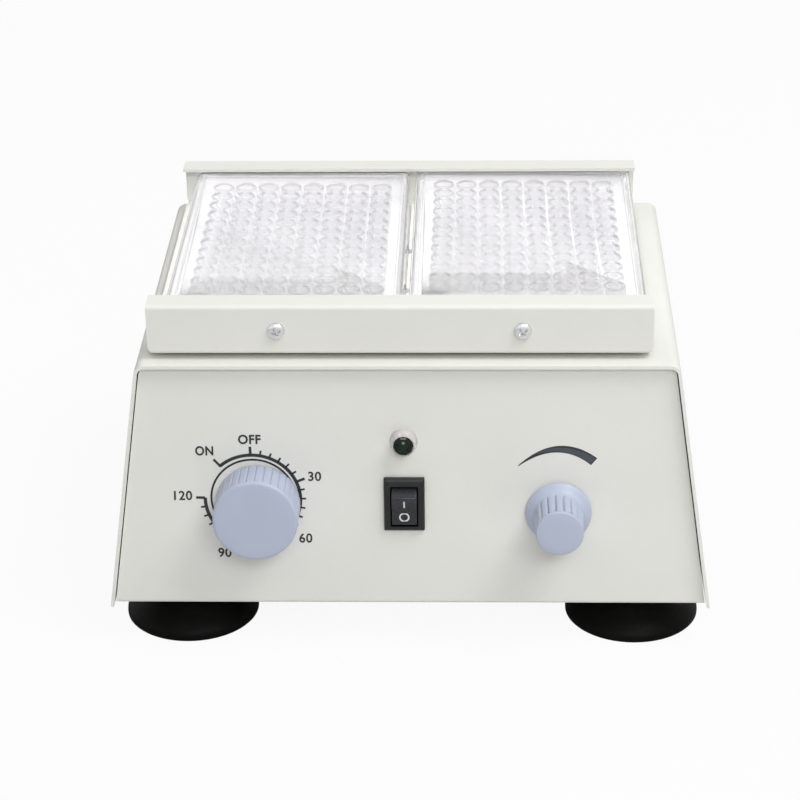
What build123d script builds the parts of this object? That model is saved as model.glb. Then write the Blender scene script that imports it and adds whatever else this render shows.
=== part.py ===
from build123d import *
from math import atan, atan2, cos, degrees, hypot, pi, radians, sin, tan
import os

# A bench shaker for two lidded 96-well plates. A low sheet-metal case with flared sides stands on four
# suction feet. A channel-shaped tray on top is carried by a motor-driven crank and three idler cranks of
# equal throw, so it swings in a small circle without turning. Millimetres, X to the right, Y to the back,
# Z up. The model is drawn about the middle of the case top and moved to its origin at the end.

# Case
sheet = 1.2                      # steel sheet of the case and the tray
case_top_width = 194.0
case_bottom_width = 221.0
case_top_depth = 152.5
case_height = 95.7
foot_height = 17.6
case_bend_radius = 4.0           # outside radius of the two long bends of the cover
panel_lean = 3.85                # degrees by which the front and rear panels lean
panel_recess = 2.8               # the panels stand this far behind the cover's edges
panel_side_gap = 0.4
pan_bend_radius = 1.4
return_flange = 12.0             # the panels' top edges, folded inwards under the cover
side_flange_height = 16.0
side_flange_end_gap = 2.0
vent_count = 9
vent_width = 2.6
vent_length = 26.0
vent_pitch = 7.0
vent_x = -42.0
vent_z = 68.0

# Tray and its path
tray_gap = 2.3                   # air between the case top and the tray
tray_length = 180.0
tray_depth = 142.0
tray_lid_clearance = 0.95        # from a lid up to the tray's lips
tray_lip = 10.0
tray_bend_radius = 1.4
tray_corner_radius = 3.0
throw = 2.5                      # radius of the tray's circular path
rest_phase = 180.0               # degrees, direction of the throw in the rest pose

# 96-well plates and lids
plate_width = 85.48
plate_length = 127.76
plate_height = 14.35
plate_skirt_height = 2.4
plate_corner_radius = 3.2
plate_step = 1.7                 # the upper wall stands this far inside the skirt
plate_wall = 1.3
deck_drop = 0.3                  # the deck lies this far below the rim
deck_thickness = 1.3
well_pitch = 9.0
well_columns = 8
well_rows = 12
well_radius = 3.45
well_depth = 10.9
well_sides = 6
well_block_margin = 4.2
plate_gap_between = 1.6          # between the two plates
plates_shift = 1.9               # of the pair to the right of the tray's middle
plate_back_gap_left = 5.6        # from the tray's back wall
plate_back_gap_right = 2.9
lid_top = 1.0
lid_wall = 0.8
lid_skirt = 8.4
lid_side_clearance = 0.5

# Springs that press the plates back
spring_thickness = 0.5
spring_width = 10.0
spring_flat = 12.0
spring_reach = 27.0
spring_tip = 4.5
spring_steps = 5
spring_clearance = 0.3
spring_z_above_floor = 3.1
spring_x = 43.8                  # each side of the tray's middle

# Fasteners
m3_radius = 1.5
m3_head_radius = 3.1
m3_head_height = 2.0
m3_nut_radius = 3.1
m3_nut_height = 2.4

# Drive
motor_radius = 26.0
motor_length = 55.0
motor_boss_radius = 8.0
motor_boss_height = 2.0
motor_shaft_radius = 3.0
motor_screw_circle = 17.0
plate_thickness = 3.0            # motor plate
motor_plate_height = 66.0        # its underside above the pan floor
motor_plate_half_width = 66.0
motor_plate_front = -44.0
motor_plate_back = 62.0
motor_plate_corner = 8.0
pillar_radius = 5.0
pillar_places = [(-60.0, -33.0), (60.0, -33.0), (-44.0, 54.0), (44.0, 54.0)]
idler_places = [(0.0, 47.0), (-40.0, -27.0), (40.0, -27.0)]
idler_names = ["idler_rear", "idler_left", "idler_right"]
running_clearance = 0.04
axial_clearance = 0.3
bearing_bore_radius = 4.0
bearing_outer_radius = 11.0
bearing_width = 7.0
hub_flange_radius = 22.0
hub_flange_thickness = 2.0
hub_radius = 15.0
hub_screw_circle = 18.5
hub_hole_clearance = 1.5         # from a hub to the hole in the case top, all round its path
crank_hub_radius = 9.0
counterweight_radius = 28.0
counterweight_thickness = 6.0
idler_shaft_radius = 4.0
idler_pin_radius = 3.0
idler_housing_radius = 9.0
idler_housing_flange = 16.4
idler_housing_height = 10.0
idler_flange_thickness = 2.5
idler_web_radius = 8.5
idler_web_thickness = 3.0
idler_hub_radius = 8.0
idler_hub_flange = 14.0
idler_hub_screw_circle = 11.0
idler_housing_screw_circle = 12.6

# Controls on the front panel: X, then height above the bench
timer_place = (-54.6, 58.6)
speed_place = (54.6, 55.1)
switch_place = (-1.4, 58.5)
lamp_place = (-1.4, 83.2)
timer_knob_face_radius = 15.2
timer_knob_base_radius = 16.0
timer_knob_length = 16.3
timer_knob_flutes = 32
speed_knob_face_radius = 8.45
speed_knob_base_radius = 8.9
speed_knob_skirt_radius = 12.0
speed_knob_length = 18.8
speed_knob_flutes = 18
knob_gap = 0.6                   # from the panel to a knob's back edge
control_shaft_radius = 3.0
timer_drum_radius = 21.0
timer_drum_depth = 28.0
timer_screw_spacing = 19.0
pot_radius = 8.2
pot_depth = 9.0
switch_frame_width = 15.0
switch_frame_height = 19.8
switch_frame_thickness = 2.0
switch_body_depth = 13.0
switch_body_inset = 1.0
rocker_width = 9.1
rocker_radius = 7.65
rocker_half_angle = 57.0
rocker_side_clearance = 0.3
rocker_pivot_depth = 1.0
rocker_pin_radius = 1.2
rocker_throw = 26.0
lamp_bezel_radius = 5.15
lamp_top_radius = 4.1
lamp_height = 5.0
lamp_body_radius = 3.95
lamp_body_depth = 12.0
lamp_lens_radius = 3.6

# Power inlet on the rear panel
inlet_place = (67.0, 44.0)
inlet_flange_width = 50.0
inlet_flange_height = 23.0
inlet_flange_thickness = 3.0
inlet_body_width = 28.0
inlet_body_height = 20.0
inlet_body_depth = 19.0
inlet_mouth_width = 24.6
inlet_mouth_height = 16.6
inlet_mouth_depth = 17.0
inlet_screw_spacing = 40.0
inlet_pin_size = (2.0, 4.0, 14.5)
inlet_pin_places = [(-7.0, -2.0), (7.0, -2.0), (0.0, 2.2)]

# Electronics
board_size = (52.0, 60.0, 1.6)
board_centre = (66.0, 12.0)
board_lift = 8.0
board_hole_inset = 4.0
transformer_size = (32.0, 42.0, 35.0)
transformer_centre = (-68.0, 14.0)
transformer_yoke = 10.0
transformer_foot = 8.0

# Feet
foot_radius = 25.0
foot_neck_radius = 10.0
foot_places = [(-83.4, -53.6), (83.4, -53.6), (-83.4, 53.6), (83.4, 53.6)]
foot_names = ["foot_front_left", "foot_front_right", "foot_rear_left", "foot_rear_right"]
stud_radius = 3.0

# Roundness: sides of a prism that stands for a circle, up to each radius
round_sides = [(2.0, 6), (3.6, 8), (6.0, 10), (10.0, 14), (16.0, 20), (24.0, 28)]
largest_side_count = 32

# Worked-out levels
case_bottom_z = foot_height
case_top_z = foot_height + case_height
floor_z = case_bottom_z + sheet
cover_under_z = case_top_z - sheet
tray_bottom_z = case_top_z + tray_gap
tray_height = 2 * sheet + plate_height + lid_top + tray_lid_clearance
tray_floor_z = tray_bottom_z + sheet
tray_top_z = tray_bottom_z + tray_height
tray_x = throw * cos(radians(rest_phase))
tray_y = throw * sin(radians(rest_phase))
flare = (case_bottom_width - case_top_width) / 2 / case_height
flare_angle = degrees(atan(flare))
lean = tan(radians(panel_lean))
motor_plate_z = floor_z + motor_plate_height
motor_plate_top_z = motor_plate_z + plate_thickness
hub_flange_z = tray_bottom_z - hub_flange_thickness
idler_housing_top_z = motor_plate_top_z + idler_housing_height
idler_web_z = idler_housing_top_z + axial_clearance
idler_web_top_z = idler_web_z + idler_web_thickness
idler_hub_bottom_z = idler_web_top_z + axial_clearance
bearing_z = idler_hub_bottom_z
pin_top_z = hub_flange_z - 4.0


def prism_along_y(face, half_depth):
    """Extrude a face drawn in X and Z both ways along Y."""
    return extrude(Plane.XZ * face, amount=half_depth, both=True)


def prism_along_x(face, half_width):
    """Extrude a face drawn in Y and Z both ways along X."""
    return extrude(Plane.YZ * face, amount=half_width, both=True)


def case_section(inset, top_inset, bend_radius, low_z):
    """Outline of the case seen from the front, moved in by the insets."""
    top_z = case_top_z - top_inset
    shift = inset / cos(atan(flare))

    def half(z):
        return case_top_width / 2 + (case_top_z - z) * flare - shift

    outline = Polyline((-half(low_z), low_z), (-half(top_z), top_z), (half(top_z), top_z), (half(low_z), low_z),
                       close=True)
    face = make_face(outline)
    return fillet(face.vertices().sort_by(Axis.Y)[-2:], bend_radius)


def side_section(inset, low_z, top_z, low_radius=0, top_radius=0):
    """Outline of the case seen from the side, its leaning ends moved in by the inset."""
    shift = inset / cos(radians(panel_lean))

    def half(z):
        return case_top_depth / 2 + (case_top_z - z) * lean - shift

    outline = Polyline((-half(low_z), low_z), (-half(top_z), top_z), (half(top_z), top_z), (half(low_z), low_z),
                       close=True)
    face = make_face(outline)
    if low_radius:
        face = fillet(face.vertices().sort_by(Axis.Y)[:2], low_radius)
    if top_radius:
        face = fillet(face.vertices().sort_by(Axis.Y)[-2:], top_radius)
    return face


def panel_face_y(z):
    """Distance of the front panel's outer face from the middle, at a height."""
    shift = panel_recess / cos(radians(panel_lean))
    return case_top_depth / 2 + (case_top_z - z) * lean - shift


def front_plane(place):
    """Plane on the front panel's outer face, its Z pointing out of the case."""
    x, z = place
    out = (0, -cos(radians(panel_lean)), sin(radians(panel_lean)))
    return Plane(origin=(x, -panel_face_y(z), z), x_dir=(1, 0, 0), z_dir=out)


def rear_plane(place):
    """Plane on the rear panel's outer face, its Z pointing out of the case."""
    x, z = place
    out = (0, cos(radians(panel_lean)), sin(radians(panel_lean)))
    return Plane(origin=(x, panel_face_y(z), z), x_dir=(-1, 0, 0), z_dir=out)


def side_plane(side, y, z):
    """Plane on the cover's flared side, side -1 left or 1 right, its Z pointing out."""
    x = side * (case_top_width / 2 + (case_top_z - z) * flare)
    out = (side * cos(radians(flare_angle)), 0, sin(radians(flare_angle)))
    return Plane(origin=(x, y, z), x_dir=(0, side, 0), z_dir=out)


def side_count(radius):
    """Sides of the prism that stands for a round piece, so that small ones stay light."""
    for limit, count in round_sides:
        if radius <= limit:
            return count
    return largest_side_count


def disc(radius, low, high, x=0.0, y=0.0):
    """Round bar or plate from one height to another, nowhere wider than its radius."""
    outline = RegularPolygon(radius, side_count(radius))
    return Pos(x, y, low) * extrude(outline, amount=high - low)


def hole(radius, low, high, x=0.0, y=0.0):
    """Cutter for a round hole from one height to another, nowhere narrower than its radius."""
    outline = RegularPolygon(radius, side_count(radius), major_radius=False)
    return Pos(x, y, low) * extrude(outline, amount=high - low)


def facet_solid(rings):
    """Solid with flat facets from each closed ring of points to the next, from low to high."""
    faces = [Face(Wire.make_polygon(rings[0])), Face(Wire.make_polygon(rings[-1]))]
    for lower, upper in zip(rings, rings[1:]):
        for k in range(len(lower)):
            corners = [lower[k - 1], lower[k], upper[k], upper[k - 1]]
            faces.append(Face(Wire.make_polygon(corners)))
    return Solid(Shell(faces))


def stack(points, sides=None):
    """Turned piece about Z with flat facets, from its radii and rising heights."""
    count = sides or side_count(max(radius for radius, z in points))
    turns = [2 * pi * k / count for k in range(count)]
    return facet_solid([[(radius * cos(a), radius * sin(a), z) for a in turns] for radius, z in points])


def block(size_x, size_y, low, high, x=0.0, y=0.0):
    """Box from one height to another."""
    return Pos(x, y, (low + high) / 2) * Box(size_x, size_y, high - low)


def rounded_block(size_x, size_y, radius, low, high):
    """Box with rounded upright edges from one height to another."""
    return Pos(0, 0, low) * extrude(RectangleRounded(size_x, size_y, radius), amount=high - low)


def ring(outer, inner, low, high, x=0.0, y=0.0):
    """Tube from one height to another."""
    return disc(outer, low, high, x, y) - hole(inner, low - 1, high + 1, x, y)


def pan_screw(length):
    """Pan-head screw, its head standing on Z = 0 and its shank below."""
    head = stack([(m3_head_radius, 0), (m3_head_radius, m3_head_height * 0.5),
                  (m3_head_radius * 0.6, m3_head_height)], 8)
    return head + disc(m3_radius, -length, 0)


def hex_nut(low, high, radius, bore):
    """Hexagon nut from one height to another."""
    outline = RegularPolygon(radius, 6)
    return Pos(0, 0, low) * extrude(outline, amount=high - low) - hole(bore, low - 1, high + 1)


def pin_angle_offset(x, y):
    """Place of a crank pin whose crank turns about X and Y, in the rest pose."""
    return x + tray_x, y + tray_y


def cover_screw_planes():
    """The four places where a screw holds the cover to the pan."""
    z = floor_z + side_flange_height / 2
    return [side_plane(side, y, z) for side in (-1, 1) for y in (-45.0, 45.0)]


def make_top_cover():
    outer = prism_along_y(case_section(0, 0, case_bend_radius, case_bottom_z), case_top_depth)
    inner = prism_along_y(case_section(sheet, sheet, case_bend_radius - sheet, case_bottom_z - sheet),
                          case_top_depth + 1)
    ends = prism_along_x(side_section(0, case_bottom_z, case_top_z), case_bottom_width)
    cover = (outer - inner) & ends
    cover -= hole(hub_radius + throw + hub_hole_clearance, cover_under_z - 1, case_top_z + 1)
    for x, y in idler_places:
        cover -= hole(idler_hub_radius + throw + hub_hole_clearance, cover_under_z - 1, case_top_z + 1, x, y)
    for plane in cover_screw_planes():
        cover -= plane * flush_screw()
    return cover


def make_chassis():
    outer = side_section(panel_recess, case_bottom_z, cover_under_z, pan_bend_radius, pan_bend_radius)
    inner = side_section(panel_recess + sheet, floor_z, cover_under_z - sheet, pan_bend_radius - sheet,
                         pan_bend_radius - sheet)
    pan = prism_along_x(outer, case_bottom_width) - prism_along_x(inner, case_bottom_width + 1)
    pan -= block(2 * case_bottom_width, 2 * (panel_face_y(cover_under_z) - return_flange),
                 cover_under_z - 2 * sheet, case_top_z)
    pan &= prism_along_y(case_section(sheet + panel_side_gap, sheet, case_bend_radius, case_bottom_z),
                         case_top_depth)
    flange_top = floor_z + side_flange_height
    side_walls = prism_along_y(case_section(sheet + panel_side_gap, 20, 1, case_bottom_z), case_top_depth)
    side_walls -= prism_along_y(case_section(2 * sheet + panel_side_gap, 20, 1, floor_z - 10), case_top_depth + 1)
    side_walls &= block(2 * case_bottom_width, 2 * case_top_depth, case_bottom_z, flange_top)
    side_walls &= prism_along_x(side_section(panel_recess + sheet + side_flange_end_gap, case_bottom_z,
                                             case_top_z), case_bottom_width)
    pan += side_walls
    for plane in cover_screw_planes():
        pan -= plane * hole(m3_radius, -6 * sheet, 0)
    pan -= front_plane(timer_place) * hole(5.0, -5, 5)
    for side in (-1, 1):
        pan -= front_plane(timer_place) * hole(m3_radius, -5, 5, side * timer_screw_spacing / 2)
    pan -= front_plane(speed_place) * hole(3.6, -5, 5)
    pan -= front_plane(lamp_place) * hole(lamp_body_radius, -5, 5)
    switch_hole = (switch_frame_width - 2 * switch_body_inset, switch_frame_height - 2 * switch_body_inset)
    pan -= front_plane(switch_place) * block(*switch_hole, -5, 5)
    pan -= rear_plane(inlet_place) * block(inlet_body_width, inlet_body_height, -5, 5)
    for side in (-1, 1):
        pan -= rear_plane(inlet_place) * hole(m3_radius, -5, 5, side * inlet_screw_spacing / 2)
    for k in range(vent_count):
        x = vent_x + (k - (vent_count - 1) / 2) * vent_pitch
        pan -= rear_plane((x, vent_z)) * block(vent_width, vent_length, -5, 5)
    for x, y in foot_places:
        pan -= hole(stud_radius, case_bottom_z - 1, floor_z + 1, x, y)
    for x, y in pillar_places + board_hole_places() + transformer_hole_places():
        pan -= hole(m3_radius, case_bottom_z - 1, floor_z + 1, x, y)
    return pan


def board_hole_places():
    """Standoff places under the corners of the control board."""
    dx = board_size[0] / 2 - board_hole_inset
    dy = board_size[1] / 2 - board_hole_inset
    return [(board_centre[0] + sx * dx, board_centre[1] + sy * dy) for sx in (-1, 1) for sy in (-1, 1)]


def transformer_hole_places():
    """Screw places at the two ends of the transformer."""
    dy = (transformer_size[1] + transformer_foot) / 2
    return [(transformer_centre[0], transformer_centre[1] + sy * dy) for sy in (-1, 1)]


def make_cover_screws():
    return [plane * flush_screw() for plane in cover_screw_planes()]


def make_foot(x, y):
    foot = stack([(foot_radius, 0), (foot_radius, 1.8), (foot_radius - 2.4, 4.6), (20.0, 7.2), (15.6, 10.4),
                  (12.2, 13.4), (foot_neck_radius, 15.4), (foot_neck_radius, case_bottom_z)])
    foot -= stack([(foot_radius - 3, 0), (19.0, 1.4), (8.0, 3.2)], side_count(foot_radius))
    foot -= hole(stud_radius, foot_height - 8, foot_height + 1)
    foot -= hole(stud_radius * 2, foot_height - 10, foot_height - 7)
    return Pos(x, y, 0) * foot


def make_foot_studs():
    stud = disc(stud_radius, foot_height - 10, floor_z + 8) + disc(stud_radius * 2, foot_height - 10, foot_height - 7)
    return [Pos(x, y, 0) * stud for x, y in foot_places]


def make_foot_nuts():
    nut = hex_nut(floor_z + 1.0, floor_z + 6.0, 5.7, stud_radius) + ring(6.0, stud_radius, floor_z, floor_z + 1.0)
    return [Pos(x, y, 0) * nut for x, y in foot_places]


def make_motor_plate():
    width = 2 * motor_plate_half_width
    depth = motor_plate_back - motor_plate_front
    middle = (motor_plate_back + motor_plate_front) / 2
    plate = Pos(0, middle, 0) * rounded_block(width, depth, motor_plate_corner, motor_plate_z, motor_plate_top_z)
    low, high = motor_plate_z - 1, motor_plate_top_z + 1
    plate -= hole(motor_boss_radius, low, high)
    for x, y in motor_screw_places() + pillar_places:
        plate -= hole(m3_radius, low, high, x, y)
    for x, y in idler_places:
        plate -= hole(idler_shaft_radius + 1.5, low, high, x, y)
    for x, y in idler_housing_screw_places():
        plate -= hole(m3_radius, low, high, x, y)
    return plate


def motor_screw_places():
    """Four screw places around the motor shaft."""
    r = motor_screw_circle
    return [(r * cos(radians(a)), r * sin(radians(a))) for a in (45, 135, 225, 315)]


def idler_housing_screw_places():
    """Two screw places beside each idler housing, in line with X."""
    return [(x + side * idler_housing_screw_circle, y) for x, y in idler_places for side in (-1, 1)]


def make_pillars():
    pillar = disc(pillar_radius, floor_z, motor_plate_z)
    pillar -= hole(m3_radius, floor_z - 1, floor_z + 8)
    pillar -= hole(m3_radius, motor_plate_z - 8, motor_plate_z + 1)
    return [Pos(x, y, 0) * pillar for x, y in pillar_places]


def make_pillar_screws():
    screws = []
    for x, y in pillar_places:
        screws.append(Pos(x, y, motor_plate_top_z) * pan_screw(plate_thickness + 6))
        screws.append(Pos(x, y, case_bottom_z) * Rot(180, 0, 0) * pan_screw(sheet + 6))
    return screws


def make_motor_can():
    low = motor_plate_z - motor_length
    can = stack([(motor_radius - 3, low), (motor_radius - 3, low + 6), (motor_radius, low + 6),
                 (motor_radius, motor_plate_z - 2), (motor_radius - 2, motor_plate_z)])
    can += disc(motor_boss_radius, motor_plate_z, motor_plate_z + motor_boss_height)
    can -= hole(motor_shaft_radius + running_clearance, motor_plate_z - 24, motor_plate_top_z)
    for x, y in motor_screw_places():
        can -= hole(m3_radius, motor_plate_z - 6, motor_plate_z + 1, x, y)
    for side in (-1, 1):
        can += block(0.8, 6.0, low - 5, low, side * 12.0, 0)
    return can


def make_motor_plate_screws():
    length = plate_thickness + 4
    screws = [Pos(x, y, motor_plate_top_z) * pan_screw(length) for x, y in motor_screw_places()]
    return screws + [Pos(x, y, motor_plate_top_z + idler_flange_thickness) * pan_screw(length)
                     for x, y in idler_housing_screw_places()]


def make_motor_shaft():
    return disc(motor_shaft_radius, motor_plate_z - 22, motor_plate_top_z + 10)


def make_drive_crank():
    low = motor_plate_top_z + 2.5
    shoulder = bearing_z - axial_clearance
    px, py = pin_angle_offset(0, 0)
    crank = disc(crank_hub_radius, low, low + 9)
    crank += disc(bearing_bore_radius + 2.0, low + 9, shoulder, px, py)
    crank += disc(bearing_bore_radius - running_clearance, shoulder, pin_top_z, px, py)
    crank -= hole(motor_shaft_radius, low - 1, motor_plate_top_z + 10)
    return crank


def make_counterweight():
    low = motor_plate_top_z + 3.5
    weight = disc(counterweight_radius, low, low + counterweight_thickness)
    away = Rot(0, 0, rest_phase) * block(2 * counterweight_radius, 4 * counterweight_radius, low - 1,
                                         low + counterweight_thickness + 1, counterweight_radius, 0)
    weight -= away
    weight += ring(crank_hub_radius + 4, crank_hub_radius, low, low + counterweight_thickness)
    return weight - hole(crank_hub_radius, low - 1, low + counterweight_thickness + 1)


def make_drive_bearing():
    px, py = pin_angle_offset(0, 0)
    return ring(bearing_outer_radius, bearing_bore_radius, bearing_z, bearing_z + bearing_width, px, py)


def make_tray_hub():
    px, py = pin_angle_offset(0, 0)
    hub = disc(hub_flange_radius, hub_flange_z, tray_bottom_z) + disc(hub_radius, bearing_z - 0.6, hub_flange_z)
    hub -= hole(bearing_outer_radius, bearing_z - 2, bearing_z + bearing_width)
    hub -= hole(bearing_bore_radius + 3, bearing_z, hub_flange_z - 2)
    for x, y in hub_screw_places():
        hub -= hole(m3_radius, hub_flange_z - 1, tray_bottom_z + 1, x, y)
    return Pos(px, py, 0) * hub


def hub_screw_places():
    """Four screw places around the drive hub's axis."""
    r = hub_screw_circle
    return [(r * cos(radians(a)), r * sin(radians(a))) for a in (0, 90, 180, 270)]


def make_idler_housing(x, y):
    flange_top = motor_plate_top_z + idler_flange_thickness
    housing = disc(idler_housing_flange, motor_plate_top_z, flange_top)
    housing += disc(idler_housing_radius, flange_top, idler_housing_top_z)
    housing -= hole(idler_shaft_radius + 1.5, motor_plate_top_z - 1, idler_housing_top_z + 1)
    for side in (-1, 1):
        housing -= hole(m3_radius, motor_plate_top_z - 1, flange_top + 1, side * idler_housing_screw_circle)
    return Pos(x, y, 0) * housing


def make_idler_sleeves():
    sleeve = ring(idler_shaft_radius + 1.5, idler_shaft_radius + running_clearance, motor_plate_z,
                  idler_housing_top_z)
    return [Pos(x, y, 0) * sleeve for x, y in idler_places]


def make_idler_crank(x, y):
    px, py = pin_angle_offset(0, 0)
    groove_top = motor_plate_z - axial_clearance
    crank = disc(idler_shaft_radius, motor_plate_z - 4, idler_web_z)
    crank += disc(idler_web_radius, idler_web_z, idler_web_top_z)
    crank += disc(idler_pin_radius, idler_web_top_z, pin_top_z, px, py)
    crank -= ring(idler_shaft_radius + 1, idler_shaft_radius - 0.6, groove_top - 0.8, groove_top)
    clip = ring(idler_shaft_radius + 2.5, idler_shaft_radius - 0.6, groove_top - 0.8, groove_top)
    clip -= block(4.0, 20.0, groove_top - 2, groove_top + 1, 0, -10)
    return [Pos(x, y, 0) * crank, Pos(x, y, 0) * clip]


def make_tray_idler_hubs():
    hub = disc(idler_hub_flange, hub_flange_z, tray_bottom_z) + disc(idler_hub_radius, idler_hub_bottom_z, hub_flange_z)
    hub -= hole(idler_pin_radius + 1.5, idler_hub_bottom_z - 1, hub_flange_z - 2)
    for side in (-1, 1):
        hub -= hole(m3_radius, hub_flange_z - 1, tray_bottom_z + 1, side * idler_hub_screw_circle)
    return [Pos(*pin_angle_offset(x, y), 0) * hub for x, y in idler_places]


def make_tray_idler_bushes():
    bush = ring(idler_pin_radius + 1.5, idler_pin_radius + running_clearance, idler_hub_bottom_z, hub_flange_z - 2)
    return [Pos(*pin_angle_offset(x, y), 0) * bush for x, y in idler_places]


def tray_floor_screw_places():
    """Screws through the tray floor, about the tray's middle."""
    places = hub_screw_places()
    return places + [(x + side * idler_hub_screw_circle, y) for x, y in idler_places for side in (-1, 1)]


def flush_screw():
    """Countersunk screw, or the cutter for its hole, with the head flush with Z = 0."""
    depth = sheet + hub_flange_thickness
    return stack([(m3_radius, -depth), (m3_radius, 0.1 - sheet), (m3_head_radius - 0.3, 0)], 8)


def make_tray_floor_screws():
    return [Pos(x + tray_x, y + tray_y, tray_floor_z) * flush_screw() for x, y in tray_floor_screw_places()]


def make_tray():
    half = tray_depth / 2
    middle = Pos(0, tray_bottom_z + tray_height / 2)
    outer = middle * RectangleRounded(tray_depth, tray_height, tray_bend_radius)
    inner = middle * RectangleRounded(tray_depth - 2 * sheet, tray_height - 2 * sheet, tray_bend_radius - sheet)
    mouth = Pos(0, tray_top_z) * Rectangle(tray_depth - 2 * tray_lip, tray_height)
    tray = prism_along_x(outer - inner - mouth, tray_length / 2)
    for side in (-1, 1):
        corner = block(2 * tray_corner_radius, 4 * sheet, tray_bottom_z - tray_corner_radius,
                       tray_bottom_z + tray_corner_radius, side * tray_length / 2, 0)
        corner -= (Pos(side * (tray_length / 2 - tray_corner_radius), 0, tray_bottom_z + tray_corner_radius)
                   * Rot(90, 0, 0) * Cylinder(tray_corner_radius, 6 * sheet))
        for end in (-1, 1):
            tray -= Pos(0, end * half, 0) * corner
    for x in (-spring_x, spring_x):
        tray -= Pos(x, -half, spring_middle_z()) * Rot(90, 0, 0) * hole(m3_radius, -3 * sheet, 3 * sheet)
    for x, y in tray_floor_screw_places():
        tray -= Pos(x, y, tray_floor_z) * flush_screw()
    return Pos(tray_x, tray_y, 0) * tray


def spring_middle_z():
    return tray_floor_z + spring_z_above_floor + spring_width / 2


def plate_centre(side):
    """Middle of the left or right plate, about the tray's middle."""
    back_gap = plate_back_gap_left if side < 0 else plate_back_gap_right
    x = plates_shift + side * (plate_width + plate_gap_between) / 2
    y = tray_depth / 2 - sheet - back_gap - plate_length / 2
    return x, y


def spring_line(reach_y):
    """Centre line of a bowed leaf spring, flat in the middle, its two tips turned back."""
    half = [(spring_flat / 2, 0.0)]
    for k in range(1, spring_steps + 1):
        t = k / spring_steps
        x = spring_flat / 2 + (spring_reach - spring_flat / 2) * t
        half.append((x, reach_y * t * t * (3 - 2 * t)))
    half.append((spring_reach + spring_tip, reach_y - 1.3))
    return [(-x, y) for x, y in reversed(half)] + half


def make_plate_spring(side):
    wall_y = -tray_depth / 2 + sheet
    front_y = plate_centre(side)[1] - plate_length / 2
    line = spring_line(front_y - spring_clearance - wall_y - spring_thickness)
    outline = line + [(x, y + spring_thickness) for x, y in reversed(line)]
    strip = extrude(make_face(Polyline(*outline, close=True)), amount=spring_width / 2, both=True)
    place = Pos(side * spring_x, wall_y, spring_middle_z())
    spring = place * strip - place * Rot(90, 0, 0) * hole(m3_radius, -3 * sheet, 3 * sheet)
    return Pos(tray_x, tray_y, 0) * spring


def make_spring_screws():
    place = Pos(tray_x, tray_y - tray_depth / 2, spring_middle_z())
    return [place * Pos(x, 0, 0) * Rot(90, 0, 0) * pan_screw(5.0) for x in (-spring_x, spring_x)]


def make_spring_nuts():
    low = sheet + spring_thickness
    nut = Rot(-90, 0, 0) * hex_nut(low, low + m3_nut_height, m3_nut_radius, m3_radius)
    place = Pos(tray_x, tray_y - tray_depth / 2, spring_middle_z())
    return [place * Pos(x, 0, 0) * nut for x in (-spring_x, spring_x)]


def place_on_tray(side, solid):
    x, y = plate_centre(side)
    return Pos(tray_x + x, tray_y + y, tray_floor_z) * solid


def make_microplate(side):
    wall_width = plate_width - 2 * plate_step
    wall_length = plate_length - 2 * plate_step
    wall_radius = plate_corner_radius - 0.7
    deck_z = plate_height - deck_drop
    body = rounded_block(plate_width, plate_length, plate_corner_radius, 0, plate_skirt_height)
    body += rounded_block(wall_width, wall_length, wall_radius, plate_skirt_height, plate_height)
    body -= rounded_block(wall_width - 2 * plate_wall, wall_length - 2 * plate_wall, wall_radius - plate_wall / 2,
                          -1, deck_z - deck_thickness)
    body -= rounded_block(wall_width - 2 * plate_wall, wall_length - 2 * plate_wall, wall_radius - plate_wall / 2,
                          deck_z, plate_height + 1)
    wells_width = (well_columns - 1) * well_pitch + 2 * well_block_margin
    wells_length = (well_rows - 1) * well_pitch + 2 * well_block_margin
    body += block(wells_width, wells_length, deck_z - well_depth - 1.2, deck_z - deck_thickness)
    well = Pos(0, 0, deck_z - well_depth) * extrude(RegularPolygon(well_radius, well_sides, major_radius=False),
                                                    amount=well_depth + 1)
    body -= [place * well for place in GridLocations(well_pitch, well_pitch, well_columns, well_rows)]
    return place_on_tray(side, body)


def make_lid(side):
    inner_width = plate_width - 2 * plate_step + 2 * lid_side_clearance
    inner_length = plate_length - 2 * plate_step + 2 * lid_side_clearance
    low = plate_height + lid_top - lid_skirt
    lid = rounded_block(inner_width + 2 * lid_wall, inner_length + 2 * lid_wall, plate_corner_radius, low,
                        plate_height + lid_top)
    lid -= rounded_block(inner_width, inner_length, plate_corner_radius - lid_wall, low - 1, plate_height)
    return place_on_tray(side, lid)


def fluted_ring(base_radius, top_radius, low, high, count, groove_depth):
    """Tapered knob wall with upright grooves, from one toothed outline to another."""
    step = 360 / count
    groove_half = 0.16 * step
    groove_ratio = 1 - groove_depth / top_radius

    def outline(radius, z):
        points = []
        for k in range(count):
            for angle, r in ((k * step, radius * groove_ratio), (k * step + groove_half, radius),
                             (k * step + step - groove_half, radius)):
                points.append((r * cos(radians(angle)), r * sin(radians(angle)), z))
        return points

    return facet_solid([outline(base_radius, low), outline(top_radius, high)])


def d_shaft(low, high, flat_low):
    """Control shaft with a flat for the knob."""
    shaft = disc(control_shaft_radius, low, high)
    return shaft - block(4 * control_shaft_radius, 2.0, flat_low, high + 1, 0, control_shaft_radius + 0.5)


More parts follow.
